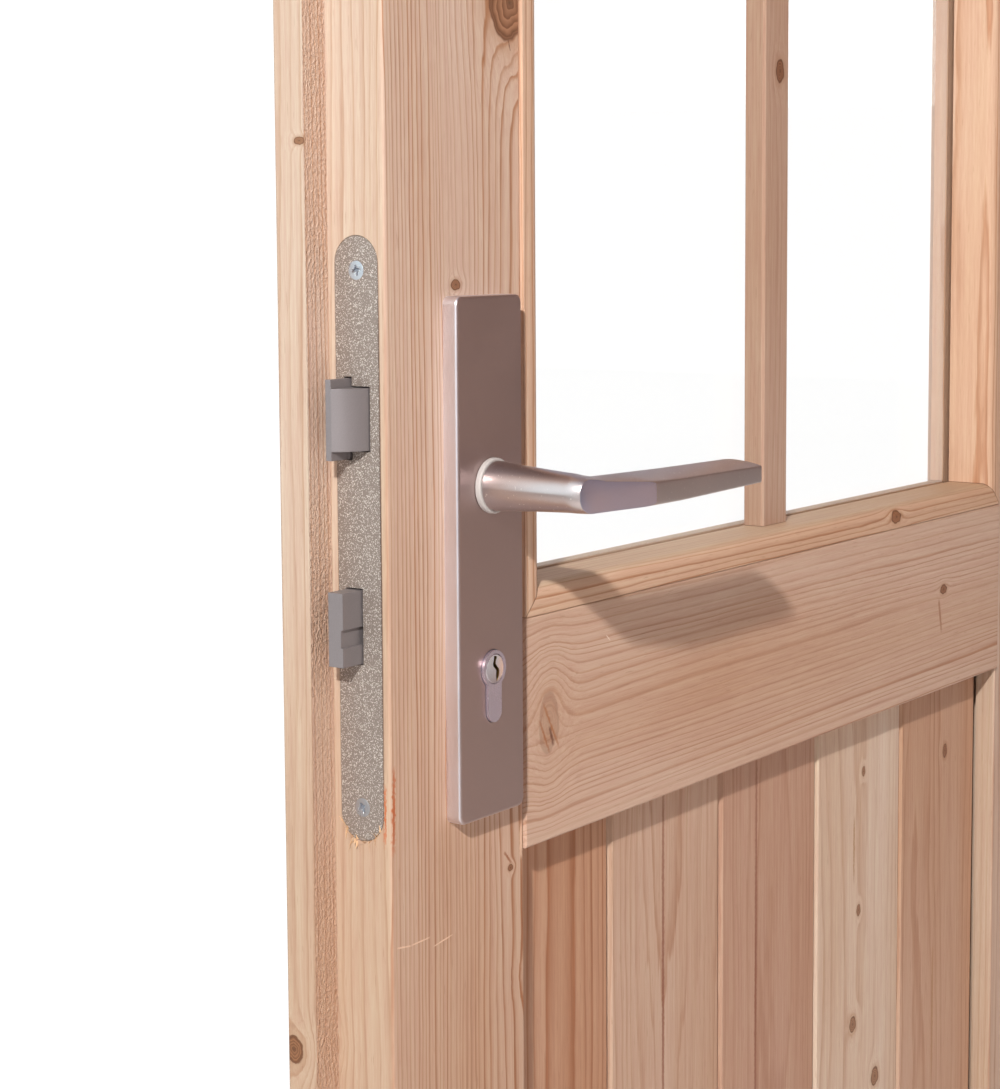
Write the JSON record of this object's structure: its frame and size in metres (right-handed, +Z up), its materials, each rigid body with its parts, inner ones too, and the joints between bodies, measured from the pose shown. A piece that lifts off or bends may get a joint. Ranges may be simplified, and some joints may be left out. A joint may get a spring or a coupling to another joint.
{
  "type": "double door",
  "caption": "Half-glazed timber double door in its frame: outward opening leaves, rebated meeting edges, mortise lock, lever handles and slide bolts.",
  "frame": {"origin": "middle of the sill's underside", "axes": "+Z up, -Y to the outside, +X to the passive leaf; the frame stands in the XZ plane"},
  "size_m": [1.6425, 0.8765, 1.885],
  "materials": {
    "cylinder_nickel": "nickel plated brass",
    "glass": "clear float glass",
    "grey_bolt": "smooth warm grey",
    "lever_metal": "satin nickel coloured, cut faces",
    "satin_nickel": "satin nickel coloured, finely brushed",
    "sparkle_paint": "grey-beige paint with bright flakes",
    "spruce_boards": "planed spruce, untreated",
    "spruce_frame": "planed spruce, untreated",
    "spruce_leaf": "planed spruce, untreated",
    "spruce_mouldings": "planed spruce, untreated",
    "white_plastic": "moulded white bush",
    "zinc_steel": "bright zinc plated"
  },
  "bodies": {
    "frame": {"frame_jamb_active": "spruce_frame", "frame_jamb_passive": "spruce_frame", "frame_head": "spruce_frame", "threshold": "spruce_frame", "bolt_keepers": "zinc_steel", "frame_screws": "zinc_steel", "hinge_posts_active": "zinc_steel", "hinge_posts_passive": "zinc_steel"},
    "active_leaf": {"active_board_1": "spruce_boards", "active_board_2": "spruce_boards", "active_board_3": "spruce_boards", "active_board_4": "spruce_boards", "active_board_5": "spruce_boards", "active_bottom_rail": "spruce_leaf", "active_edge_screws": "zinc_steel", "active_glass_pane": "glass", "active_hinge_knuckles": "zinc_steel", "active_hinge_stile": "spruce_leaf", "active_inside_beads": "spruce_mouldings", "active_lock_stile": "spruce_leaf", "active_mid_rail": "spruce_leaf", "active_muntin_cross": "spruce_mouldings", "active_muntin_upright": "spruce_mouldings", "active_outside_beads": "spruce_mouldings", "active_top_rail": "spruce_leaf", "cylinder_body": "cylinder_nickel", "inside_plate": "satin_nickel", "lever_collars": "white_plastic", "lock_case": "zinc_steel", "lock_forend": "sparkle_paint", "outside_plate": "satin_nickel", "plate_screws": "zinc_steel"},
    "passive_leaf": {"passive_board_1": "spruce_boards", "passive_board_2": "spruce_boards", "passive_board_3": "spruce_boards", "passive_board_4": "spruce_boards", "passive_board_5": "spruce_boards", "passive_bottom_rail": "spruce_leaf", "passive_edge_screws": "zinc_steel", "passive_glass_pane": "glass", "passive_hinge_knuckles": "zinc_steel", "passive_hinge_stile": "spruce_leaf", "passive_inside_beads": "spruce_mouldings", "passive_meeting_stile": "spruce_leaf", "passive_mid_rail": "spruce_leaf", "passive_muntin_cross": "spruce_mouldings", "passive_muntin_upright": "spruce_mouldings", "passive_outside_beads": "spruce_mouldings", "passive_top_rail": "spruce_leaf", "slide_guides": "zinc_steel", "strike_plate": "sparkle_paint"},
    "lever_set": {"inside_lever": "lever_metal", "outside_lever": "lever_metal", "lever_spindle": "zinc_steel", "lock_follower": "zinc_steel"},
    "latch": {"latch": "grey_bolt"},
    "deadbolt": {"deadbolt": "grey_bolt"},
    "cylinder_plug": {"cylinder_plug": "cylinder_nickel"},
    "slide_bolt_top": {"slide_bolt_top": "zinc_steel"},
    "slide_bolt_bottom": {"slide_bolt_bottom": "zinc_steel"}
  },
  "joints": [
    {"name": "active_leaf_swing", "type": "hinge", "parent": "frame", "child": "active_leaf", "pos_m": [-0.764, -0.0545, 0.9], "axis": [0, 0, 1], "range_deg": [-75, 90]},
    {"name": "passive_leaf_swing", "type": "hinge", "parent": "frame", "child": "passive_leaf", "pos_m": [0.764, -0.0545, 0.9], "axis": [0, 0, 1], "range_deg": [0, 165]},
    {"name": "lever_turn", "type": "hinge", "parent": "active_leaf", "child": "lever_set", "pos_m": [-0.7485, -0.7515, 1.005], "axis": [-1, 0, 0], "range_deg": [0, 31], "stiffness_Nm_per_rad": 1.2, "springref_deg": -20.05},
    {"name": "latch_slide", "type": "slide", "parent": "active_leaf", "child": "latch", "axis": [0, 1, 0], "range_m": [0, 0.0134]},
    {"name": "cylinder_turn", "type": "hinge", "parent": "active_leaf", "child": "cylinder_plug", "pos_m": [-0.7485, -0.7515, 0.9215], "axis": [-1, 0, 0], "range_deg": [0, 360]},
    {"name": "deadbolt_slide", "type": "slide", "parent": "active_leaf", "child": "deadbolt", "axis": [0, 1, 0], "range_m": [0, 0.0129]},
    {"name": "top_bolt_slide", "type": "slide", "parent": "passive_leaf", "child": "slide_bolt_top", "axis": [0, 0, 1], "range_m": [0, 0.024]},
    {"name": "bottom_bolt_slide", "type": "slide", "parent": "passive_leaf", "child": "slide_bolt_bottom", "axis": [0, 0, -1], "range_m": [0, 0.024]}
  ],
  "couplings": [
    {"joint": "latch_slide", "follows": "lever_turn", "m_per_rad": 0.024582},
    {"joint": "cylinder_turn", "follows": "deadbolt_slide", "rad_per_m": 487.06}
  ]
}
